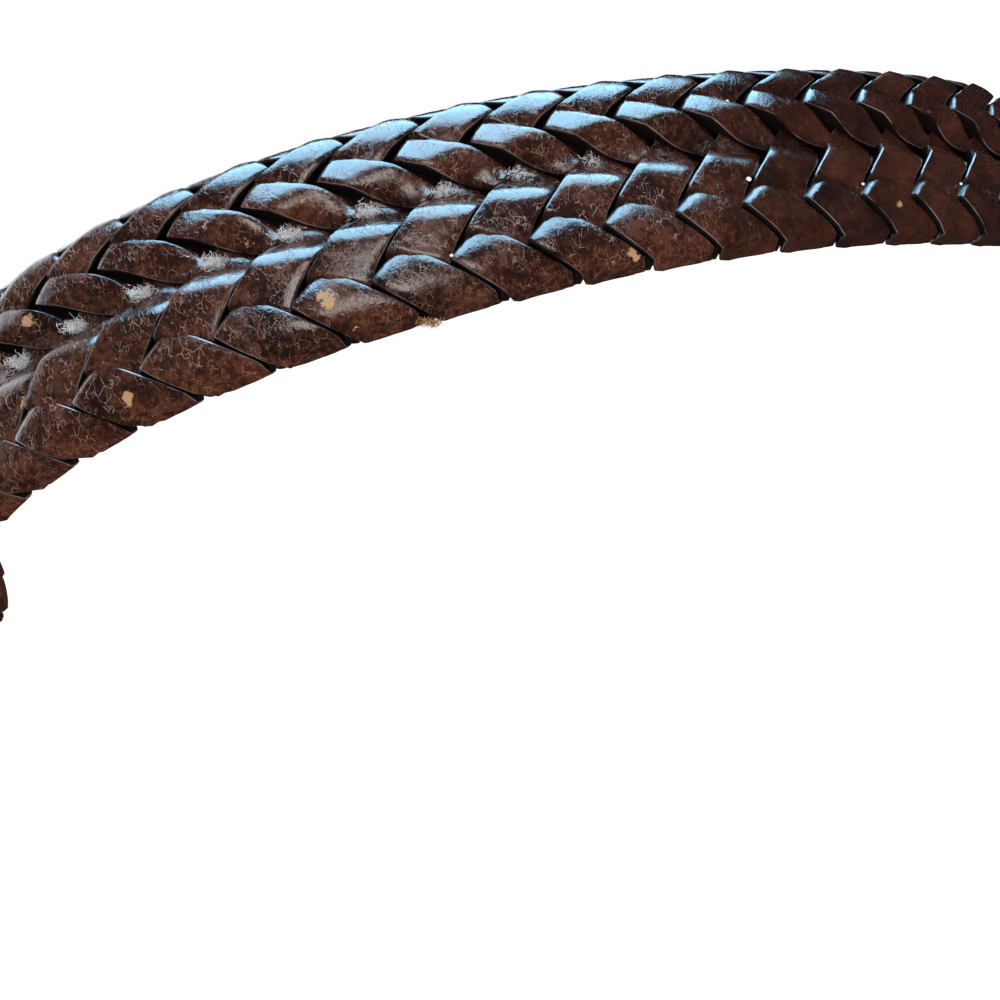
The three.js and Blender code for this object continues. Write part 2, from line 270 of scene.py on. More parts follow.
@dataclass
class Strand:
    """One strand of the braid, wound round the section from one end of the belt to the other."""

    name: str
    lay: Lay
    number: int
    loop: Loop
    section: Section
    lace: Lace
    pitch: float = 13.0 * MM
    skew_per_row: float = -0.182
    edge_ease: float = 0.25
    first: float = -460.0 * MM
    last: float = 389.0 * MM
    rings_per_row: int = 14
    bunching: float = 0.62
    turnover: float = 0.06
    dive_reach: float = 0.24
    edge_width: float = 0.6
    lay_angle: float = math.radians(37.7)
    seed: int = 0

    def skew(self, row: np.ndarray) -> tuple[np.ndarray, np.ndarray]:
        """Finds how far the lay leans along the belt.

        Args:
            row: rows round the section, from -4 to 4.

        Returns:
            The lean at each row and how fast it changes there, in pitches.
        """
        past_edge = (np.abs(row) - 2) / self.edge_ease
        whole = self.edge_ease * (np.log(np.cosh(2 / self.edge_ease)) - np.log(np.cosh(past_edge)))
        return self.skew_per_row * np.sign(row) * whole, -self.skew_per_row * np.tanh(past_edge)

    def build(self) -> bpy.types.Object:
        """Builds the strand's mesh.

        Returns:
            The new object, with its UV map and attributes.
        """
        start_place = self.lay.start_place + self.number * self.pitch
        first_step = (self.first - start_place) / self.pitch
        last_step = (self.last - start_place) / self.pitch
        rings = round((last_step - first_step) * self.rings_per_row)
        stations = self.lace.stations()
        around = len(stations)

        grid = bmesh.new()
        uv_layer = grid.loops.layers.uv.new("strand")
        bmesh.ops.create_grid(grid, x_segments=rings, y_segments=around, size=0.5, calc_uvs=True)
        flat = np.array([vert.co[:2] for vert in grid.verts]) + 0.5
        corner = np.rint(flat[:, 1] * around).astype(int) % around
        across, up, cut = stations[corner].T
        even = first_step + flat[:, 0] * (last_step - first_step)
        step = even - self.bunching * np.sin(2 * math.pi * even) / (2 * math.pi)

        points, facts = self.place(step, across, up)
        facts["cut"] = cut
        for vert, point in zip(grid.verts, points.tolist()):
            vert.co = point
        for fact, values in facts.items():
            layer = grid.verts.layers.float.new(fact)
            for vert, value in zip(grid.verts, values.tolist()):
                vert[layer] = value
        run = (last_step - first_step) * self.pitch / math.cos(self.lay_angle)
        for face in grid.faces:
            for corner_loop in face.loops:
                spot = corner_loop[uv_layer].uv
                corner_loop[uv_layer].uv = (spot.x * run * 100, spot.y * around * 0.12)
        bmesh.ops.remove_doubles(grid, verts=grid.verts, dist=1e-7)
        bmesh.ops.holes_fill(grid, edges=[edge for edge in grid.edges if edge.is_boundary])
        bmesh.ops.recalc_face_normals(grid, faces=grid.faces)
        return as_object(grid, self.name)

    def place(self, step: np.ndarray, across: np.ndarray,
              up: np.ndarray) -> tuple[np.ndarray, dict[str, np.ndarray]]:
        """Places corners of the lace along the strand's run.

        Args:
            step: rows passed since the strand was at row 0.
            across: shares of the half width.
            up: shares of the half thickness.

        Returns:
            The points, and the facts about each that the finish reads.
        """
        lay, lace = self.lay, self.lace
        sign = lay.way.value
        row = sign * step
        wrapped = (row + 4) % 8 - 4
        skew, skewing = self.skew(wrapped)
        place = lay.start_place + self.pitch * (self.number + step + skew)
        row_length = self.section.row_length(row)
        lean = self.pitch * (1 + sign * skewing)
        run = np.hypot(row_length, lean)

        # How close the strand is to an edge of the belt, and to a dive into one of the two valleys.
        edge = np.exp(-((np.abs(self.section.spot(wrapped)) - 2) / self.edge_width) ** 2)
        dive = np.exp(-(np.minimum(np.abs(wrapped), 4 - np.abs(wrapped)) / self.dive_reach) ** 2)
        cover = lay.cover + (lay.edge_cover - lay.cover) * edge
        shift = across * cover * self.pitch * row_length / run / 2 * (1 - lay.taper * dive)
        side_place = shift * row_length / run
        side_row = -sign * shift * lean / run / row_length

        turned = step - lay.lag * shift / run - lay.rounding * across ** 2 * dive
        wave = np.sin(math.pi * turned) + lay.ridge_reach * (1 - np.cos(math.pi * turned)) / 2
        wave += lay.edge_reach * edge + lay.valley_reach * dive
        lie = wave / np.sqrt(wave ** 2 + self.turnover ** 2)
        bulge = lace.crown + lay.curl * dive * np.clip(lie, 0, 1)
        arch = lace.arch * np.clip(np.sin(math.pi * turned), 0, 1) * (1 - edge)
        half_thickness = lace.half_thickness * (1 - lace.squeeze * np.clip(-lie, 0, 1))
        lift = ((lie + up) * half_thickness + lace.tilt * shift * (1 - 0.5 * edge)
                + (bulge * (1 - across ** 2) + arch) * np.clip(up, 0, 1) - lay.valley_sag * dive)

        # The lace is stiff across, so it stays flatter than the surface that it lies on.
        stiff = lace.stiffness * (1 - edge) * (1 - 0.6 * dive)
        depth, rise = self.section.lifted(row + side_row * (1 - stiff), lift)
        deeper, higher = self.section.slope(row + side_row * (1 - stiff))
        depth = depth + deeper * side_row * stiff
        height = self.section.width / 2 + rise + higher * side_row * stiff
        points = self.loop.points(place + side_place, depth, height)
        tones = np.random.default_rng(self.seed).random(200)
        tone = tones[np.clip(np.floor(turned).astype(int) + 100, 0, 199)]
        return points, {"lie": lie, "tone": tone}


def join(body: bmesh.types.BMesh, part: bmesh.types.BMesh) -> None:
    """Adds one mesh in work to another and frees it.

    Args:
        body: the mesh in work that stays.
        part: the mesh in work that goes into it.
    """
    mesh = bpy.data.meshes.new("part")
    part.to_mesh(mesh)
    part.free()
    body.from_mesh(mesh)
    bpy.data.meshes.remove(mesh)


def as_object(mesh_in_work: bmesh.types.BMesh, name: str) -> bpy.types.Object:
    """Turns a mesh in work into an object of the scene and frees it.

    Args:
        mesh_in_work: the mesh in work.
        name: the name of the object and its mesh.

    Returns:
        The new object.
    """
    mesh = bpy.data.meshes.new(name)
    mesh_in_work.to_mesh(mesh)
    mesh_in_work.free()
    mesh.shade_smooth()
    piece = bpy.data.objects.new(name, mesh)
    bpy.context.scene.collection.objects.link(piece)
    return piece


class Socket:
    """A shader socket that takes part in Python expressions."""

    def __init__(self, shader: "Shader", socket: bpy.types.NodeSocket) -> None:
        """Wraps a socket of a shader."""
        self.shader = shader
        self.socket = socket

    def math(self, operation: str, *values: "Socket | float") -> "Socket":
        """Adds a Math node that starts from this socket."""
        return self.shader.add("ShaderNodeMath", {"operation": operation}, {
            i: value for i, value in enumerate((self, *values))})

    def __add__(self, other: "Socket | float") -> "Socket":
        """Adds a value."""
        return self.math("ADD", other)

    __radd__ = __add__

    def __mul__(self, other: "Socket | float") -> "Socket":
        """Multiplies by a value."""
        return self.math("MULTIPLY", other)

    __rmul__ = __mul__

    def __sub__(self, other: "Socket | float") -> "Socket":
        """Takes a value away."""
        return self.math("SUBTRACT", other)

    def __rsub__(self, other: float) -> "Socket":
        """Takes this socket away from a value."""
        return (self * -1.0) + other

    def band(self, low: float, high: float) -> "Socket":
        """Returns a smooth mask that goes from 0 at low to 1 at high."""
        return self.shader.add("ShaderNodeMapRange", {"interpolation_type": "SMOOTHSTEP"}, {
            "Value": self, "From Min": low, "From Max": high})


class Shader:
    """The node tree of one material or of the world, with short ways to add to it."""

    def __init__(self, name: str, world: bool = False) -> None:
        """Starts a material or world with an empty tree and its output.

        Args:
            name: the name of the material or world.
            world: whether it is the world.
        """
        self.owner = (bpy.data.worlds if world else bpy.data.materials).new(name)
        self.owner.use_nodes = True
        self.tree = self.owner.node_tree
        self.tree.nodes.clear()
        self.output = self.tree.nodes.new("ShaderNodeOutputWorld" if world else "ShaderNodeOutputMaterial")

    def add(self, kind: str, settings: dict | None = None, inputs: dict | None = None,
            out: int | str = 0) -> Socket:
        """Adds a node.

        Args:
            kind: the node's type.
            settings: its properties, set first.
            inputs: values or sockets for its inputs, by name or number.
            out: the output wanted.

        Returns:
            The wanted output.
        """
        node = self.tree.nodes.new(kind)
        for key, value in (settings or {}).items():
            setattr(node, key, value)
        for key, value in (inputs or {}).items():
            if isinstance(value, Socket):
                self.tree.links.new(value.socket, node.inputs[key])
            else:
                node.inputs[key].default_value = value
        return Socket(self, node.outputs[out])

    def fact(self, name: str) -> Socket:
        """Reads one of the piece's own attributes."""
        return self.add("ShaderNodeAttribute", {"attribute_name": name}, out="Fac")

    def where(self) -> Socket:
        """Reads the place on the piece, in metres."""
        return self.add("ShaderNodeTexCoord", out="Object")

    def noise(self, vector: Socket, scale: float, detail: float = 3.0, roughness: float = 0.6,
              distortion: float = 0.0) -> Socket:
        """Adds fractal noise round one half.

        Args:
            vector: where the noise is read.
            scale: its patches in one metre.
            detail: its number of finer layers.
            roughness: how strong the finer layers are.
            distortion: how much it is warped.

        Returns:
            The noise.
        """
        return self.add("ShaderNodeTexNoise", None, {
            "Vector": vector, "Scale": scale, "Detail": detail, "Roughness": roughness,
            "Distortion": distortion})

    def cells(self, vector: Socket, scale: float) -> Socket:
        """Adds the distance to the edges of a cell pattern."""
        return self.add("ShaderNodeTexVoronoi", {"feature": "DISTANCE_TO_EDGE"}, {
            "Vector": vector, "Scale": scale})

    def vector(self, operation: str, first: Socket, second: Socket | Sequence[float],
               out: str = "Vector") -> Socket:
        """Adds a Vector Math node on two vectors."""
        return self.add("ShaderNodeVectorMath", {"operation": operation}, {0: first, 1: second}, out)

    def distance(self, where: Socket, point: Vector) -> Socket:
        """Returns the distance to a point."""
        return self.vector("DISTANCE", where, point, "Value")

    def clamp(self, value: Socket) -> Socket:
        """Keeps a value between 0 and 1."""
        return self.add("ShaderNodeClamp", None, {"Value": value})

    def worn(self, where: Socket) -> Socket:
        """Returns how worn the belt is, in broad patches and most on the +X half of its front.

        Args:
            where: the place on the piece.

        Returns:
            The wear, from 0 to 1.
        """
        along = self.add("ShaderNodeSeparateXYZ", None, {"Vector": where})
        patches = self.noise(where, 28.0, 2.0)
        return (along.band(0.02, 0.13) * 0.75 + patches * 0.55 - 0.05).band(0.2, 0.75)

    def cracks(self, where: Socket, scale: float, width: float) -> Socket:
        """Returns thin broken lines between cells, bent by noise and mostly upright.

        Args:
            where: the place on the piece.
            scale: the cells in one metre.
            width: the lines' width, as a share of a cell.

        Returns:
            The lines, from 0 to 1.
        """
        bend = self.add("ShaderNodeTexNoise", None, {"Vector": where, "Scale": scale * 0.8, "Detail": 4.0},
                        out="Color")
        bent = self.vector("ADD", where, self.vector("MULTIPLY", bend, (0.9 / scale,) * 3))
        upright = self.vector("MULTIPLY", bent, (1.5, 1.5, 0.65))
        return 1 - self.cells(upright, scale).band(width * 0.3, width)

    def blend(self, share: Socket | float, low: Socket | Sequence[float],
              high: Socket | Sequence[float]) -> Socket:
        """Blends two colours.

        Args:
            share: how much of the second colour there is.
            low: the first colour.
            high: the second colour.

        Returns:
            The blended colour.
        """
        node = self.tree.nodes.new("ShaderNodeMix")
        node.data_type = "RGBA"
        sockets = [node.inputs[0], node.inputs[6], node.inputs[7]]
        for socket, value in zip(sockets, (share, low, high)):
            if isinstance(value, Socket):
                self.tree.links.new(value.socket, socket)
            else:
                socket.default_value = value if isinstance(value, (int, float)) else (*value, 1.0)
        return Socket(self, node.outputs[2])

    def surface(self, colour: Socket | Sequence[float], roughness: Socket | float,
                normal: Socket | None = None, **uniform: float | tuple) -> Socket:
        """Adds one Principled surface.

        Args:
            colour: the base colour.
            roughness: the surface's roughness.
            normal: the bumped normal, if any.
            uniform: other inputs of the surface, the same all over.

        Returns:
            The surface, to mix or to finish with.
        """
        inputs = {"Base Color": colour if isinstance(colour, Socket) else (*colour, 1.0),
                  "Roughness": roughness}
        if normal is not None:
            inputs["Normal"] = normal
        for key, value in uniform.items():
            inputs[key.replace("_", " ").title().replace("Ior", "IOR")] = value
        return self.add("ShaderNodeBsdfPrincipled", None, inputs)

    def bump(self, height: Socket, relief: float) -> Socket:
        """Turns a height map into a normal; relief is how tall its full range is, in metres."""
        return self.add("ShaderNodeBump", None, {"Height": height, "Distance": relief}, out="Normal")

    def finish(self, surface: Socket) -> bpy.types.Material | bpy.types.World:
        """Closes the tree with a surface and returns the material or world."""
        self.tree.links.new(surface.socket, self.output.inputs["Surface"])
        return self.owner


@dataclass(frozen=True)
class Mark:
    """A spot on the braid where something shows: a scuff, a speck or a tuft of lint."""

    place: float
    depth: float
    height: float
    reach: float = 0.0

    def point(self, loop: Loop) -> Vector:
        """Returns the middle of the mark."""
        return Vector(loop.points(*(np.array([part]) for part in (self.place, self.depth, self.height)))[0])


def marks(*rows: tuple[float, float, float, float]) -> tuple[Mark, ...]:
    """Makes marks from rows of place, depth, height and reach in millimetres."""
    return tuple(Mark(*(value * MM for value in row)) for row in rows)


@dataclass(frozen=True)
class BraidLeather:
    """The finish of the braid: glossy dark brown leather, crazed, rubbed and dusty, with painted shade on
    the parts under other strands and a painted highlight along the strands' edges.
    """

    brown: Colour = (0.052, 0.0148, 0.0082)
    worn_brown: Colour = (0.098, 0.034, 0.0175)
    deep: Colour = (0.0105, 0.0042, 0.0036)
    black: Colour = (0.0045, 0.0035, 0.0036)
    # Painted shade for the parts that lie under other strands, seen in the gaps.
    painted_under_shade: Colour = (0.014, 0.0065, 0.0048)
    tan: Colour = (0.36, 0.17, 0.09)
    scuff: Colour = (0.42, 0.24, 0.11)
    # Painted highlight: the pale grey line along the strands' rounded edges.
    rim: Colour = (0.20, 0.19, 0.20)
    scuffs: tuple[Mark, ...] = marks(
        (168.0, 0.8, 34.5, 1.9), (83.0, 1.8, 36.4, 1.8), (133.0, 0.2, 31.6, 2.2), (187.0, 0.0, 26.4, 2.2),
        (183.0, 0.0, 12.5, 1.9), (27.0, 0.4, 32.8, 1.2), (62.5, -0.2, 7.5, 1.3), (148.0, 0.0, 11.5, 1.3))

    def make(self, loop: Loop) -> bpy.types.Material:
        """Builds the material for a braid that lies along a loop.

        Args:
            loop: the loop that the braid lies along.

        Returns:
            The material.
        """
        shader = Shader("braid_leather")
        where = shader.where()
        # over is 1 where a strand lies on top; the rest gets the painted shade of the under parts.
        over = shader.fact("lie").band(0.6, 0.99)
        cut = shader.fact("cut")
        top = (1 - cut) * over

        mottle = shader.noise(where, 130.0, 5.0, 0.65)
        fine = shader.noise(where, 900.0, 3.0, 0.6)
        depth = shader.fact("tone") * 0.25 + mottle * 0.9 + (fine - 0.5) * 0.6
        colour = shader.blend(depth.band(0.3, 0.95), self.deep, self.brown)

        # Fine cracks show the paler flesh side, most of them where the belt is worn.
        worn = shader.worn(where)
        colour = shader.blend(worn * (mottle + fine).band(0.92, 1.22) * 0.5, colour, self.worn_brown)
        cracks = shader.cracks(where, 520.0, 0.024) * shader.noise(where, 300.0, 5.0, 0.7).band(0.48, 0.58)
        crazed = shader.cracks(where, 1100.0, 0.04) * shader.noise(where, 440.0, 5.0, 0.7).band(0.51, 0.62)
        lines = shader.clamp(cracks + crazed * 0.8) * worn * top
        colour = shader.blend(lines * 0.6, colour, self.tan)
        rubbed = shader.noise(where, 190.0, 6.0, 0.75).band(0.655, 0.7) * worn
        frayed = 1 - shader.noise(where, 620.0, 5.0, 0.7).band(0.38, 0.62)
        for scuff in self.scuffs:
            near = 1 - shader.distance(where, scuff.point(loop)).band(scuff.reach * 0.2, scuff.reach)
            rubbed = rubbed + (near * 1.05 - frayed).band(0.0, 0.3)
        rubbed = shader.clamp(rubbed) * top
        colour = shader.blend(rubbed * 0.8, colour, self.scuff)
        # Painted highlight: a pale grey line along the rounded corners between the top and the cut sides,
        # on top strands only, in patches.
        rim = cut.band(0.12, 0.28) * (1 - cut.band(0.32, 0.6)) * over * mottle.band(0.35, 0.6)
        colour = shader.blend(cut, colour, self.black)
        colour = shader.blend(rim * 0.6, colour, self.rim)

        # Fine wrinkles break the shine up, more in some patches than in others.
        wrinkles = shader.noise(where, 1300.0, 1.6, 0.5, 1.2)
        wrinkles = wrinkles * shader.noise(where, 240.0, 2.0).band(0.3, 0.65)
        grain = wrinkles + fine * 0.6 - lines * 0.5 + rubbed * 0.4
        roughness = 0.16 + (mottle - 0.5) * 0.4 + (fine - 0.5) * 0.25 + lines * 0.35 + rubbed * 0.3
        leather = shader.surface(colour, roughness, shader.bump(grain, 0.00006), specular_ior_level=0.75)
        # Painted shade: the parts that dive under other strands, which show in the gaps, are painted nearly
        # black; they are also less glossy.
        painted_under_shade = shader.surface(self.painted_under_shade, 0.4, specular_ior_level=0.25)
        return shader.finish(shader.add("ShaderNodeMixShader", None, {0: over, 1: painted_under_shade, 2: leather}))


@dataclass(frozen=True)
class EndLeather:
    """The finish of the leather ends: smooth dark leather with a fine grain, creases and painted edges."""

    brown: Colour = (0.046, 0.0135, 0.0075)
    deep: Colour = (0.016, 0.0062, 0.0048)
    black: Colour = (0.0055, 0.0042, 0.004)
    tan: Colour = (0.30, 0.15, 0.08)

    def make(self) -> bpy.types.Material:
        """Builds the material.

        Returns:
            The material.
        """
        shader = Shader("end_leather")
        where = shader.where()
        edge = shader.fact("edge").band(0.55, 0.9)
        mottle = shader.noise(where, 90.0, 5.0, 0.65)
        fine = shader.noise(where, 900.0, 3.0, 0.6)
        colour = shader.blend((mottle + (fine - 0.5) * 0.4).band(0.3, 0.75), self.deep, self.brown)
        creases = shader.cracks(where, 420.0, 0.03) * shader.noise(where, 260.0, 3.0).band(0.52, 0.64)
        rubbed = shader.noise(where, 240.0, 5.0, 0.7).band(0.66, 0.74)
        wear = shader.clamp(creases * 0.6 + rubbed * 0.4) * (1 - edge)
        colour = shader.blend(wear * 0.7, colour, self.tan)
        colour = shader.blend(edge, colour, self.black)
        grain = shader.noise(where, 2600.0, 2.0, 0.5) + fine * 0.6 - creases * 0.8
        roughness = 0.42 + (fine - 0.5) * 0.3 + wear * 0.25 + edge * 0.1
        return shader.finish(shader.surface(colour, roughness, shader.bump(grain, 0.00005),
                                            specular_ior_level=0.4))


@dataclass(frozen=True)
class Thread:
    """The finish of the waxed sewing thread."""

    pale: Colour = (0.24, 0.125, 0.065)
    dark: Colour = (0.10, 0.05, 0.028)

    def make(self) -> bpy.types.Material:
        """Builds the material.

        Returns:
            The material.
        """
        shader = Shader("thread")
        where = shader.where()
        twist = shader.add("ShaderNodeTexWave", {"wave_type": "BANDS", "bands_direction": "DIAGONAL"}, {
            "Vector": where, "Scale": 900.0, "Distortion": 1.5})
        grime = shader.noise(where, 300.0, 4.0)
        colour = shader.blend((twist * 0.4 + grime * 0.8).band(0.3, 0.9), self.dark, self.pale)
        return shader.finish(shader.surface(colour, 0.6, shader.bump(twist, 0.00008)))


@dataclass(frozen=True)
class Brass:
    """The finish of the buckle: aged brass, dulled in patches and finely scratched."""

    bright: Colour = (0.50, 0.34, 0.14)
    dull: Colour = (0.15, 0.095, 0.045)

    def make(self) -> bpy.types.Material:
        """Builds the material.

        Returns:
            The material.
        """
        shader = Shader("buckle_metal")
        where = shader.where()
        patches = shader.noise(where, 160.0, 5.0, 0.65)
        stretched = shader.vector("MULTIPLY", where, (1.0, 1.0, 0.06))
        scratches = shader.noise(stretched, 2400.0, 3.0, 0.7).band(0.62, 0.7)
        dents = shader.noise(where, 420.0, 3.0)
        tarnish = shader.clamp(patches.band(0.42, 0.62) - scratches * 0.5)
        colour = shader.blend(tarnish * 0.85, self.bright, self.dull)
        roughness = 0.22 + tarnish * 0.3 + scratches * 0.1
        normal = shader.bump(dents * 0.6 - scratches * 0.3, 0.00012)
        return shader.finish(shader.surface(colour, roughness, normal, metallic=1.0))


@dataclass
class Braid:
    """The braid of sixteen strands."""

    loop: Loop = field(default_factory=Loop)
    section: Section = field(default_factory=Section)
    lace: Lace = field(default_factory=Lace)
    strands_each_way: int = 8

    def build(self) -> list[bpy.types.Object]:
        """Builds every strand.

        Returns:
            The strands' objects.
        """
        strands = []
        for lay in (RISING, FALLING):
            for i in range(self.strands_each_way):
                strand = Strand(f"strand_{lay.way.name.lower()}_{i + 1}", lay, i, self.loop, self.section,
                                self.lace, seed=i + 20 * lay.way.value + 30)
                strands.append(strand.build())
        return strands

    def dress(self, strands: list[bpy.types.Object]) -> None:
        """Gives the strands their finish and their place on the belt.

        Args:
            strands: the strands' objects.
        """
        leather = BraidLeather().make(self.loop)
        for strand in strands:
            strand.data.materials.append(leather)
            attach(strand, BODY)
            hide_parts("braided_band")


@dataclass(frozen=True)
class Lint:
    """The finish of the dust and fluff that is caught in the braid."""

    colour: Colour
    grime: Colour

    def make(self, name: str) -> bpy.types.Material:
        """Builds the material.

        Args:
            name: the name of the material.

        Returns:
            The material.
        """
        shader = Shader(name)
        mottle = shader.noise(shader.where(), 1500.0, 3.0)
        colour = shader.blend(mottle.band(0.35, 0.65), self.grime, self.colour)
        return shader.finish(shader.surface(colour, 0.9, specular_ior_level=0.2))


@dataclass
class Dust:
    """Tufts of fibres in the pits of the braid, and specks on its strands."""

    loop: Loop = field(default_factory=Loop)
    pale: Lint = Lint((0.86, 0.88, 0.93), (0.5, 0.49, 0.5))
    tan: Lint = Lint((0.50, 0.25, 0.13), (0.25, 0.12, 0.06))
    first_pit: float = 83.5 * MM
    pit_pitch: float = 13.0 * MM
    pit_count: int = 9
    pit_depth: float = 1.7 * MM
    pit_height: float = 17.0 * MM
    tuft: tuple[float, float, float] = (2.4 * MM, 0.8 * MM, 1.3 * MM)
    tuft_fibres: tuple[int, int] = (40, 220)
    fluff: Mark = Mark(118.5 * MM, 4.6 * MM, 37.9 * MM)
    fluff_size: tuple[float, float, float] = (2.0 * MM, 0.7 * MM, 0.55 * MM)
    fluff_fibres: int = 150
    fibre_radius: float = 0.035 * MM
    speck_shape: tuple[float, float, float] = (1.0, 0.6, 0.75)
    specks: tuple[Mark, ...] = marks(
        (58.0, -0.3, 26.4, 0.55), (54.5, -0.2, 9.2, 0.3), (34.0, -0.2, 28.8, 0.35), (7.5, -0.2, 28.2, 0.35),
        (112.5, -0.2, 30.5, 0.35))

    def add_tuft(self, work: bmesh.types.BMesh, middle: Vector, size: Sequence[float], count: int,
                 chance: np.random.Generator) -> None:
        """Adds one tuft of thin curled fibres.

        Args:
            work: the mesh in work that it goes into.
            middle: the tuft's middle.
            size: how far it spreads along x, y and z.
            count: the number of fibres.
            chance: the random numbers that place them.
        """
        for _ in range(count):
            fibre = bmesh.new()
            spot = middle + Vector(chance.normal(0, 0.5, 3) * size)
            axis = Vector(chance.normal(0, 1, 3)).normalized()
            bend = chance.uniform(0.2, 0.8) * MM
            turn = axis.to_track_quat("Z", "Y").to_matrix()
            start = Matrix.Translation(spot + turn @ Vector((bend, 0, 0))) @ (
                turn @ Matrix.Rotation(math.pi / 2, 3, "X")).to_4x4()
            made = bmesh.ops.create_circle(fibre, segments=3, radius=self.fibre_radius, matrix=start)
            bmesh.ops.spin(fibre, geom=[*made["verts"], *fibre.edges], cent=spot, axis=axis,
                           angle=chance.uniform(1.5, 4.0), steps=6)
            join(work, fibre)

    def lint(self) -> bmesh.types.BMesh:
        """Builds the pale tufts in the pits of the valley.

        Returns:
            The mesh in work.
        """
        work = bmesh.new()
        chance = np.random.default_rng(5)
        fewest, more = self.tuft_fibres
        for i in range(self.pit_count):
            place = self.first_pit + i * self.pit_pitch
            count = round(more * float(ease(place, 80.0 * MM, 140.0 * MM))) + fewest
            middle = Mark(place, self.pit_depth, self.pit_height).point(self.loop)
            self.add_tuft(work, middle, self.tuft, count, chance)
        return work

    def fuzz(self) -> bmesh.types.BMesh:
        """Builds the tan fuzz on the edge.

        Returns:
            The mesh in work.
        """
        work = bmesh.new()
        self.add_tuft(work, self.fluff.point(self.loop), self.fluff_size, self.fluff_fibres,
                      np.random.default_rng(6))
        return work

    def grit(self) -> bmesh.types.BMesh:
        """Builds the white specks.

        Returns:
            The mesh in work.
        """
        work = bmesh.new()
        for speck in self.specks:
            size = Matrix.Diagonal((*self.speck_shape, 1.0))
            bmesh.ops.create_icosphere(work, subdivisions=2, radius=speck.reach,
                                       matrix=Matrix.Translation(speck.point(self.loop)) @ size)
        return work

    def build(self) -> list[bpy.types.Object]:
        """Builds and finishes the dust.

        Returns:
            The pieces.
        """
        pieces = []
        for name, work, finish in (("lint", self.lint(), self.pale), ("fuzz", self.fuzz(), self.tan),
                                   ("grit", self.grit(), self.pale)):
            piece = as_object(work, name)
            piece.data.materials.append(finish.make(name))
            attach(piece, BODY)
            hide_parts("braided_band")
            pieces.append(piece)
        return pieces


def rounded_corners(per_corner: int = 4, along_side: int = 6) -> np.ndarray:
    """Lists the corners round a rectangle with rounded corners.

    Args:
        per_corner: corners in each rounded corner.
        along_side: extra corners in each long side.

    Returns:
        For each corner, the side and the face that it lies towards, and its turn within the rounding.
    """
    turns = np.linspace(0, math.pi / 2, per_corner)
    quarters = []
    for side, face, start in ((1, 1, 0), (-1, 1, 1), (-1, -1, 2), (1, -1, 3)):
        turned = turns + start * math.pi / 2
        quarters += [(side, face, math.cos(turn), math.sin(turn)) for turn in turned]
        if start in (0, 2):
            shares = np.linspace(side, -side, along_side + 2)[1:-1]
            quarters += [(share, face, 0.0, float(face)) for share in shares]
    return np.array(quarters)


@dataclass
class Sweep:
    """A rounded bar or strap carried along a path, worked out straight and then bent onto the loop.

    Paths hold places, depths and heights. Half widths lie along the side directions, half thicknesses along
    the upward ones.
    """

    centres: np.ndarray
    sides: np.ndarray
    ups: np.ndarray
    half_width: np.ndarray
    half_thickness: np.ndarray
    radius: float

    def build(self) -> bmesh.types.BMesh:
        """Builds the closed body.

        Returns:
            The mesh in work, still straight, with the share of each corner that faces sideways as "edge".
        """
        corners = rounded_corners()
        rings, around = len(self.centres), len(corners)
        grid = bmesh.new()
        bmesh.ops.create_grid(grid, x_segments=rings - 1, y_segments=around, size=0.5)
        flat = np.array([vert.co[:2] for vert in grid.verts]) + 0.5
        ring = np.rint(flat[:, 0] * (rings - 1)).astype(int)
        side, face, turn_side, turn_up = corners[np.rint(flat[:, 1] * around).astype(int) % around].T
        wide, thick = self.half_width[ring], self.half_thickness[ring]
        radius = np.minimum(self.radius, np.minimum(wide, thick))
        across = side * (wide - radius) + turn_side * radius
        up = face * (thick - radius) + turn_up * radius
        points = self.centres[ring] + across[:, None] * self.sides[ring] + up[:, None] * self.ups[ring]
        layer = grid.verts.layers.float.new("edge")
        for vert, point, sideways in zip(grid.verts, points.tolist(), np.abs(turn_side).tolist()):
            vert.co = point
            vert[layer] = sideways
        bmesh.ops.remove_doubles(grid, verts=grid.verts, dist=1e-6)
        bmesh.ops.holes_fill(grid, edges=[edge for edge in grid.edges if edge.is_boundary])
        bmesh.ops.recalc_face_normals(grid, faces=grid.faces)
        return grid


def cut_away(body: bmesh.types.BMesh, cutter: bmesh.types.BMesh) -> bmesh.types.BMesh:
    """Cuts one body out of another.

    Args:
        body: the body that stays.
        cutter: the body that is taken away.

    Returns:
        What is left.
    """
    pieces = [as_object(body, "body"), as_object(cutter, "cutter")]
    boolean = pieces[0].modifiers.new("cut", "BOOLEAN")
    boolean.object = pieces[1]
    boolean.operation = "DIFFERENCE"
    boolean.solver = "EXACT"
    graph = bpy.context.evaluated_depsgraph_get()
    left = bmesh.new()
    left.from_object(pieces[0], graph)
    for piece in pieces:
        mesh = piece.data
        bpy.data.objects.remove(piece)
        bpy.data.meshes.remove(mesh)
    return left


def bent(straight: bmesh.types.BMesh, loop: Loop) -> bmesh.types.BMesh:
    """Bends a straight mesh onto the loop.

    Args:
        straight: the mesh in work, in places, depths and heights.
        loop: the loop that it is bent onto.

    Returns:
        The same mesh in work, bent.
    """
    spots = np.array([vert.co[:] for vert in straight.verts])
    for vert, point in zip(straight.verts, loop.points(*spots.T).tolist()):
        vert.co = point
    bmesh.ops.recalc_face_normals(straight, faces=straight.faces)
    return straight


def ease(value: np.ndarray | float, low: float, high: float) -> np.ndarray:
    """Goes smoothly from 0 at low to 1 at high."""
    share = np.clip((value - low) / (high - low), 0, 1)
    return share * share * (3 - 2 * share)


def strap_frames(count: int) -> tuple[np.ndarray, np.ndarray]:
    """Returns the side and upward directions of a strap that runs straight along the loop."""
    return np.tile((0.0, 0.0, 1.0), (count, 1)), np.tile((0.0, -1.0, 0.0), (count, 1))


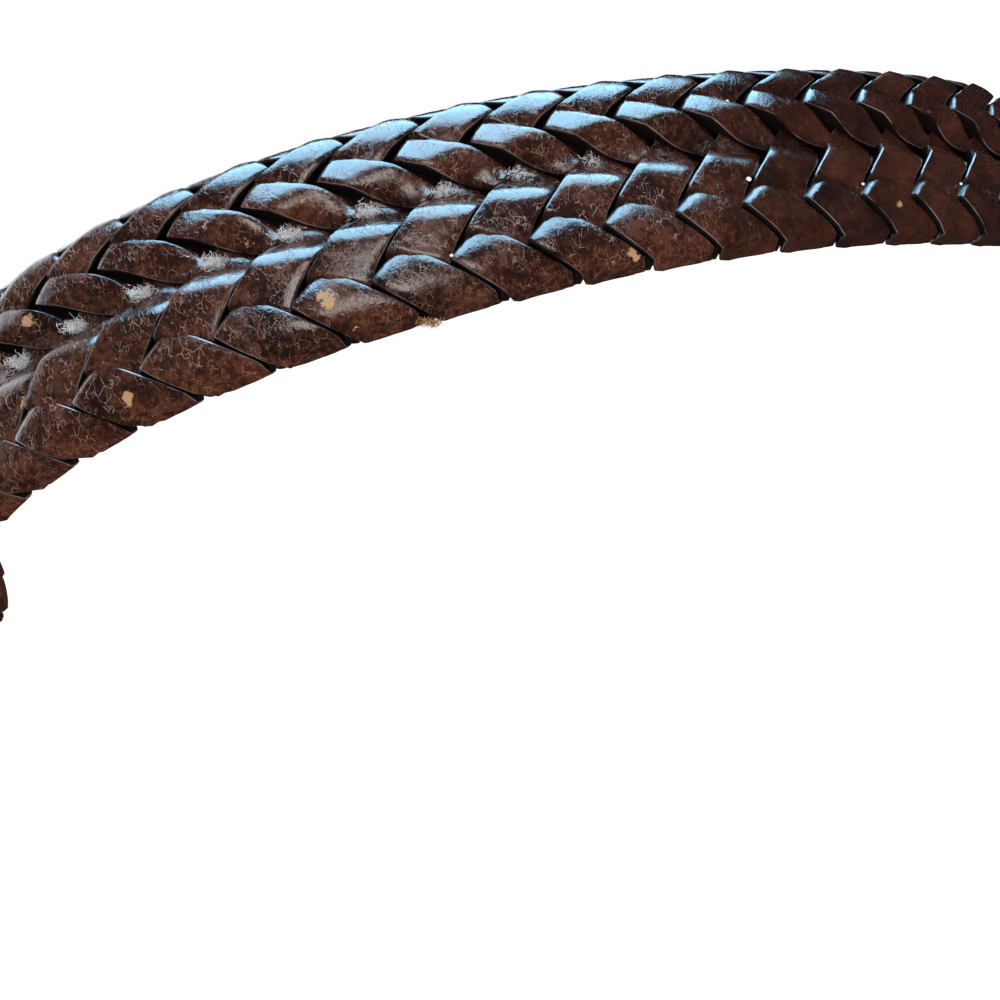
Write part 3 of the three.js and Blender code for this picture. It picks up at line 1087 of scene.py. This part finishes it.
@dataclass(frozen=True)
class Stitching:
    """Stitches of waxed thread, each a short rounded bar lying on the leather."""

    pitch: float = 3.6 * MM
    half_length: float = 1.35 * MM
    half_width: float = 0.36 * MM
    half_height: float = 0.3 * MM
    proud: float = 0.1 * MM

    def add(self, work: bmesh.types.BMesh, start: Sequence[float], end: Sequence[float]) -> None:
        """Adds a row of stitches between two spots of the straight belt.

        Args:
            work: the mesh in work that they go into.
            start: place, depth and height of the first end.
            end: place, depth and height of the last end.
        """
        start, end = Vector(start), Vector(end)
        count = max(2, round((end - start).length / self.pitch))
        turn = (end - start).to_track_quat("X", "Y").to_matrix().to_4x4()
        size = Matrix.Diagonal((self.half_length, self.half_height, self.half_width, 1.0))
        for i in range(count):
            spot = start.lerp(end, (i + 0.5) / count)
            bmesh.ops.create_icosphere(work, subdivisions=2, radius=1.0,
                                       matrix=Matrix.Translation(spot) @ turn @ size)


    def rectangle(self, near: float, far: float, rim: float, middle: float, height: float,
                  half: Callable[[float], float]) -> bmesh.types.BMesh:
        """Builds stitches round a rectangle on both faces of an end.

        Args:
            near: the place of its first side.
            far: the place of its last side.
            rim: how far its long sides are from the middle of the end.
            middle: the depth of the end's middle.
            height: the height of the end's middle.
            half: how far each face is from the middle at a place.

        Returns:
            The mesh in work, still straight.
        """
        work = bmesh.new()
        for face in (-1, 1):
            low, high = (middle + face * (half(spot) + self.proud) for spot in (near, far))
            for side in (-1, 1):
                self.add(work, (near, low, height + side * rim), (far, high, height + side * rim))
            for spot, depth in ((near, low), (far, high)):
                self.add(work, (spot, depth, height - rim), (spot, depth, height + rim))
        return work


@dataclass
class End:
    """What the fastened ends share: the loop, the buckle's bar and the line that they lie on."""

    loop: Loop = field(default_factory=Loop)
    bar_place: float = 452.0 * MM
    middle: float = 4.0 * MM
    height: float = 19.0 * MM
    half_width: float = 19.0 * MM
    neck_half_width: float = 13.5 * MM
    seam_inset: float = 3.0 * MM


@dataclass
class Tab(End):
    """The leather tab folded round the buckle's bar and sewn over the braid's end."""

    mouth: float = 500.0 * MM
    floor: float = 472.0 * MM
    wall: float = 2.0 * MM
    fold_radius: float = 4.3 * MM
    mouth_half: float = 6.3 * MM
    slot: tuple[float, float, float] = (12.6 * MM, 8.6 * MM, 4.4 * MM)

    def half(self, place: np.ndarray | float) -> np.ndarray:
        """Returns how far each outer face is from the middle."""
        opening = self.mouth_half - self.fold_radius
        return self.fold_radius + opening * ease(place, self.bar_place, self.floor)

    def wide(self, place: np.ndarray | float) -> np.ndarray:
        """Returns the half width."""
        spread = ease(place, self.bar_place + 7 * MM, self.bar_place + 12 * MM)
        return self.neck_half_width + (self.half_width - self.neck_half_width) * spread

    def folded(self) -> bmesh.types.BMesh:
        """Builds the folded leather, with the slot for the prong cut into its fold.

        Returns:
            The closed mesh in work, still straight.
        """
        run = np.linspace(self.mouth, self.bar_place + 1 * MM, 34)
        turns = np.linspace(-math.pi / 2, -1.5 * math.pi, 19)
        radius = self.fold_radius - self.wall / 2
        place = np.concatenate([run, self.bar_place + radius * np.cos(turns), run[::-1]])
        outward = np.concatenate([-self.half(run) + self.wall / 2, radius * np.sin(turns),
                                  self.half(run[::-1]) - self.wall / 2])
        centres = np.stack([place, self.middle + outward, np.full_like(place, self.height)], axis=1)
        along = np.gradient(centres, axis=0)
        along /= np.linalg.norm(along, axis=1)[:, None]
        sides = strap_frames(len(centres))[0]
        folded = Sweep(centres, sides, np.cross(along, sides), self.wide(place),
                       np.full_like(place, self.wall / 2), 0.8 * MM).build()
        slot = bmesh.new()
        spot = Vector((self.bar_place - 2 * MM, self.middle - 2 * MM, self.height))
        size = Matrix.Diagonal((*self.slot, 1.0))
        bmesh.ops.create_cube(slot, size=1.0, matrix=Matrix.Translation(spot) @ size)
        return cut_away(folded, slot)

    def core(self) -> bmesh.types.BMesh:
        """Builds the leather that fills the fold between the bar and the braid's end.

        Returns:
            The closed mesh in work, still straight.
        """
        place = np.linspace(self.bar_place + 4 * MM, self.mouth - 1.5 * MM, 20)
        centres = np.stack([place, 0 * place + self.middle, 0 * place + self.height], axis=1)
        return Sweep(centres, *strap_frames(len(place)), self.wide(place) - 0.5 * MM,
                     self.half(place) - self.wall * 0.9, 0.6 * MM).build()

    def stitches(self) -> bmesh.types.BMesh:
        """Builds the stitches on both faces."""
        return Stitching().rectangle(self.bar_place + 14 * MM, self.mouth - self.seam_inset,
                                     self.half_width - self.seam_inset, self.middle, self.height, self.half)


@dataclass
class Tongue(End):
    """The tongue: a sewn sleeve over the braid's other end that narrows into a strap with oblong holes."""

    start: float = 366.0 * MM
    sleeve_end: float = 394.0 * MM
    tip: float = 522.0 * MM
    tip_length: float = 17.0 * MM
    frame_end: float = 422.0 * MM
    sleeve_half: float = 6.3 * MM
    strap_half: float = 1.75 * MM
    under_frame: float = 5.05 * MM
    over_fold: float = -2.35 * MM
    over_tab: float = -4.35 * MM
    hole_half_length: float = 4.75 * MM
    hole_half_width: float = 2.2 * MM
    holes: tuple[float, ...] = (406.25 * MM, 426.25 * MM, 446.25 * MM, 466.25 * MM, 486.25 * MM)

    def depth(self, place: np.ndarray | float) -> np.ndarray:
        """Returns how deep the strap's middle lies.

        Args:
            place: places along the strap.

        Returns:
            The depths.
        """
        sunk = self.middle + (self.under_frame - self.middle) * ease(place, self.sleeve_end + 10 * MM,
                                                                     self.frame_end)
        raised = sunk + (self.over_fold - sunk) * ease(place, self.frame_end, self.bar_place)
        return raised + (self.over_tab - raised) * ease(place, self.bar_place, self.bar_place + 20 * MM)

    def strap(self) -> bmesh.types.BMesh:
        """Builds the sleeve and strap in one, with the mouth sunk in and the holes cut.

        Returns:
            The closed mesh in work, still straight.
        """
        body = np.linspace(self.start, self.tip - self.tip_length, 90)
        rounded = self.tip - self.tip_length * (1 - np.sin(np.linspace(0.05, math.pi / 2, 22)))
        place = np.concatenate([body, rounded])
        thin = ease(place, self.sleeve_end - 2 * MM, self.sleeve_end + 10 * MM)
        narrow = ease(place, self.sleeve_end, self.sleeve_end + 20 * MM)
        past = np.clip((place - self.tip + self.tip_length) / self.tip_length, 0, 1)
        wide = (self.half_width + (self.neck_half_width - self.half_width) * narrow) * np.maximum(
            0.12, np.sqrt(1 - past ** 2))
        centres = np.stack([place, self.depth(place), np.full_like(place, self.height)], axis=1)
        strap = Sweep(centres, *strap_frames(len(place)), wide,
                      self.sleeve_half + (self.strap_half - self.sleeve_half) * thin, 1.1 * MM).build()
        mouth = [face for face in strap.faces if all(vert.co.x < self.start + 1e-6 for vert in face.verts)]
        bmesh.ops.inset_region(strap, faces=mouth, thickness=1.7 * MM)
        bmesh.ops.translate(strap, vec=(8 * MM, 0, 0), verts=list({
            vert for face in mouth for vert in face.verts}))
        return cut_away(strap, self.punches())

    def punches(self) -> bmesh.types.BMesh:
        """Builds the bodies that cut the oblong holes.

        Returns:
            The mesh in work, still straight.
        """
        punches = bmesh.new()
        straight = self.hole_half_length - self.hole_half_width
        for place in self.holes:
            spot = Vector((place, self.depth(place) - 8 * MM, self.height))
            made = bmesh.ops.create_circle(punches, cap_ends=True, segments=28, radius=self.hole_half_width,
                                           matrix=Matrix.Rotation(math.pi / 2, 4, "X"))
            for vert in made["verts"]:
                vert.co.x += math.copysign(straight, vert.co.x)
                vert.co += spot
            raised = bmesh.ops.extrude_face_region(punches, geom=made["verts"][0].link_faces[:])
            bmesh.ops.translate(punches, vec=(0, 16 * MM, 0), verts=[
                part for part in raised["geom"] if isinstance(part, bmesh.types.BMVert)])
        bmesh.ops.recalc_face_normals(punches, faces=punches.faces)
        return punches

    def stitches(self) -> bmesh.types.BMesh:
        """Builds the stitches on both faces of the sleeve.

        Returns:
            The mesh in work, still straight.
        """
        return Stitching().rectangle(self.start + self.seam_inset, self.sleeve_end - self.seam_inset,
                                     self.half_width - self.seam_inset, self.middle, self.height,
                                     lambda place: self.sleeve_half)


@dataclass
class Buckle(End):
    """The buckle: a rounded frame, the bar that the tab is folded round, and a bent prong."""

    length: float = 30.0 * MM
    half_width: float = 18.5 * MM
    side: float = 3.7 * MM
    thickness: float = 4.0 * MM
    rise: float = 3.0 * MM
    corner: float = 5.0 * MM
    bar_radius: float = 2.0 * MM
    prong_radius: float = 1.5 * MM
    eye_radius: float = 3.1 * MM
    eye_half_width: float = 1.1 * MM

    def swept(self, path: np.ndarray, half_width: np.ndarray, half_thickness: np.ndarray,
              radius: float, flat_side: Sequence[float]) -> bmesh.types.BMesh:
        """Carries a section along a path.

        Args:
            path: places, depths and heights from the middle of the bar.
            half_width: half widths at each spot.
            half_thickness: half thicknesses at each spot.
            radius: the rounding of the section's corners.
            flat_side: the direction that is square to the whole path.

        Returns:
            The mesh in work.
        """
        along = np.gradient(path, axis=0)
        along /= np.linalg.norm(along, axis=1)[:, None]
        up = np.tile(np.array(flat_side, dtype=float), (len(path), 1))
        centre = np.array((self.bar_place, self.middle, self.height))
        return Sweep(path + centre, np.cross(along, up), up, half_width, half_thickness, radius).build()

    def build(self) -> bmesh.types.BMesh:
        """Builds the frame, the bar and the prong in one straight mesh.

        Returns:
            The mesh in work.
        """
        reach = self.half_width - self.side / 2
        bend = self.corner - self.side / 2
        turns = np.linspace(0, math.pi / 2, 9)
        legs = np.linspace(2 * MM, bend - self.length, 16)
        upper = [(x, reach) for x in legs]
        upper += [(bend - self.length - bend * math.sin(turn), reach - bend + bend * math.cos(turn))
                  for turn in turns[1:]]
        upper += [(-self.length, z) for z in np.linspace(reach - bend, 0, 9)[1:]]
        lower = [(x, -z) for x, z in reversed(upper[:-1])]
        spots = np.array(upper + lower)
        path = np.stack([spots[:, 0], spots[:, 0] * self.rise / self.length, spots[:, 1]], axis=1)
        body = self.swept(path, np.full(len(path), self.side / 2), np.full(len(path), self.thickness / 2),
                          1.5 * MM, (0.0, -1.0, 0.0))

        heights = np.linspace(-reach, reach, 13)
        bar = np.stack([0 * heights, 0 * heights, heights], axis=1)
        prong = self.prong_path()
        taper = 1 - 0.25 * ease(np.linspace(0, 1, len(prong)), 0.7, 1.0)
        ring = np.linspace(0, 2 * math.pi, 25)
        eye = np.stack([self.eye_radius * np.cos(ring), self.eye_radius * np.sin(ring), 0 * ring], axis=1)
        for part in (self.swept(bar, np.full(13, self.bar_radius), np.full(13, self.bar_radius),
                                self.bar_radius, (0.0, -1.0, 0.0)),
                     self.swept(prong, self.prong_radius * taper, self.prong_radius * taper,
                                self.prong_radius, (0.0, 0.0, 1.0)),
                     self.swept(eye, np.full(25, self.eye_half_width), np.full(25, self.prong_radius),
                                1.0 * MM, (0.0, 0.0, 1.0))):
            join(body, part)
        return body

    def prong_path(self) -> np.ndarray:
        """Returns the bent line of the prong, from the bar to the far end of the frame.

        Returns:
            Places, depths and heights from the middle of the bar.
        """
        back = np.array((0.0, 2.0, 4.6, 8.0, 15.0, 31.0)) * MM
        out = np.array((0.0, 2.4, 6.0, 8.2, 8.0, 6.2)) * MM
        fine = np.linspace(0, 31 * MM, 90)
        bent_out = np.interp(fine, back, out)
        smooth = np.convolve(np.pad(bent_out, 4, mode="edge"), np.ones(9) / 9, mode="valid")
        return np.stack([-fine, -smooth, 0 * fine], axis=1)


def dress(work: bmesh.types.BMesh, name: str, node: str, material: bpy.types.Material,
          loop: Loop) -> bpy.types.Object:
    """Bends a straight mesh onto the loop and makes it a finished piece of the belt.

    Args:
        work: the straight mesh in work.
        name: the piece's name.
        node: the plain piece that it stands in for.
        material: its finish.
        loop: the loop that it lies along.

    Returns:
        The new object.
    """
    piece = as_object(bent(work, loop), name)
    piece.data.set_sharp_from_angle(angle=math.radians(42))
    piece.data.materials.append(material)
    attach(piece, BODY)
    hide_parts(node)
    return piece


@dataclass(frozen=True)
class Glow:
    """A soft patch of light in the surroundings, by the angles of its middle and of its edges."""

    elevation: float
    azimuth: float
    inner: float
    outer: float
    colour: Colour

    def direction(self) -> Vector:
        """Returns the direction of its middle.

        Returns:
            The direction, of length 1.
        """
        elevation, azimuth = math.radians(self.elevation), math.radians(self.azimuth)
        return Vector((math.sin(azimuth) * math.cos(elevation), -math.cos(azimuth) * math.cos(elevation),
                       math.sin(elevation)))


@dataclass
class Studio:
    """The floor, the light and the camera."""

    camera_at: Vector = field(default_factory=lambda: Vector((0.18873, -0.20541, 0.12118)))
    view: Vector = field(default_factory=lambda: Vector((-0.5053, 0.79401, -0.33798)))
    up: Vector = field(default_factory=lambda: Vector((-0.10875, -0.44713, -0.88783)))
    lens: float = 37.165
    sensor: float = 36.0
    reach: float = 0.2185
    dim: Colour = (0.02, 0.02, 0.022)
    fill: Colour = (0.45, 0.46, 0.48)
    backdrop: Colour = (1.2, 1.2, 1.2)
    glows: tuple[Glow, ...] = (
        Glow(-64.0, -5.0, 22.0, 36.0, (4.4, 8.6, 12.0)),
        Glow(-6.0, 20.0, 6.0, 13.0, (5.0, 4.8, 4.6)),
        Glow(-35.0, 150.0, 10.0, 48.0, (2.6, 2.7, 2.9)),
    )

    def build(self) -> None:
        """Builds the whole studio."""
        self.build_camera()
        self.build_floor()
        self.build_lights()

    def build_camera(self) -> None:
        """Stands the camera where the belt's braid is seen as in the photograph."""
        camera = bpy.data.objects.new("camera", bpy.data.cameras.new("camera"))
        bpy.context.scene.collection.objects.link(camera)
        back = -self.view.normalized()
        right = self.up.cross(back).normalized()
        up = back.cross(right)
        turn = Matrix((right, up, back)).transposed().to_4x4()
        camera.matrix_world = Matrix.Translation(self.camera_at) @ turn
        camera.data.lens = self.lens
        camera.data.sensor_width = self.sensor
        camera.data.clip_start = 0.01
        # The far side of the loop lies beyond this, so the picture holds only the near stretch.
        camera.data.clip_end = self.reach
        bpy.context.scene.camera = camera

    def build_floor(self) -> None:
        """Lays the floor."""
        disc = bmesh.new()
        bmesh.ops.create_circle(disc, cap_ends=True, segments=96, radius=30.0)
        floor = as_object(disc, "floor")
        shader = Shader("floor")
        floor.data.materials.append(shader.finish(shader.surface(
            (0.9, 0.9, 0.9), 0.9, emission_color=(1.0, 1.0, 1.0, 1.0), emission_strength=0.85)))
        floor.visible_glossy = False

    def build_lights(self) -> None:
        """Hangs the lights and sets the world's backdrop."""
        scene = bpy.context.scene
        scene.view_settings.view_transform = "Standard"
        scene.world = self.surroundings()
        self.lamp("overhead", (0.1, -0.5, 1.5), (0.0, 0.0, 0.0), (1.2, 1.2), 30.0, (1.0, 0.97, 0.93))

    def surroundings(self) -> bpy.types.World:
        """Builds the world: a white backdrop, soft all-round light and glows that show in the gloss.

        Returns:
            The world.
        """
        shader = Shader("studio", world=True)
        where = shader.add("ShaderNodeTexCoord", out="Generated")
        sky = self.dim
        for glow in self.glows:
            nearness = shader.vector("DOT_PRODUCT", where, glow.direction(), "Value")
            share = shader.add("ShaderNodeMapRange", {"interpolation_type": "SMOOTHERSTEP"}, {
                "Value": nearness, "From Min": math.cos(math.radians(glow.outer)),
                "From Max": math.cos(math.radians(glow.inner))})
            sky = shader.blend(share, sky, glow.colour)
        unseen = shader.blend(shader.add("ShaderNodeLightPath", out="Is Glossy Ray"), self.fill, sky)
        seen = shader.blend(shader.add("ShaderNodeLightPath", out="Is Camera Ray"), unseen, self.backdrop)
        return shader.finish(shader.add("ShaderNodeBackground", None, {"Color": seen}))

    def lamp(self, name: str, at: Sequence[float], towards: Sequence[float], size: tuple[float, float],
             power: float, colour: Colour) -> None:
        """Adds one soft lamp.

        Args:
            name: the lamp's name.
            at: where it is.
            towards: the point that it faces.
            size: its two sides.
            power: its power in watts.
            colour: its colour.
        """
        light = bpy.data.lights.new(name, "AREA")
        light.shape = "RECTANGLE"
        light.size, light.size_y = size
        light.energy = power
        light.color = colour
        lamp = bpy.data.objects.new(name, light)
        lamp.location = at
        lamp.rotation_euler = (Vector(towards) - Vector(at)).to_track_quat("-Z", "Y").to_euler()
        lamp.visible_camera = False
        lamp.visible_glossy = False
        bpy.context.scene.collection.objects.link(lamp)


def main() -> None:
    """Builds the belt and its studio, and reports each piece."""
    logging.basicConfig(level=logging.INFO, format="%(message)s")
    Studio().build()
    braid = Braid()
    strands = braid.build()
    braid.dress(strands)
    leather, thread, brass = EndLeather().make(), Thread().make(), Brass().make()
    tab, tongue, buckle = Tab(), Tongue(), Buckle()
    pieces = [dress(work, name, node, material, tab.loop) for work, name, node, slot, material in (
        (tab.folded(), "tab_leather", "buckle_tab", "end_leather", leather),
        (tab.core(), "tab_core", "buckle_tab", "end_leather", leather),
        (tab.stitches(), "tab_stitches", "buckle_tab", "end_leather", thread),
        (tongue.strap(), "tongue_leather", "tongue", "end_leather", leather),
        (tongue.stitches(), "tongue_stitches", "tongue", "end_leather", thread),
        (buckle.build(), "buckle_brass", "buckle", "buckle_metal", brass))]
    for piece in [*strands, *Dust().build(), *pieces]:
        logger.info("%s: %d faces", piece.name, len(piece.data.polygons))


if __name__ == "__main__":
    main()
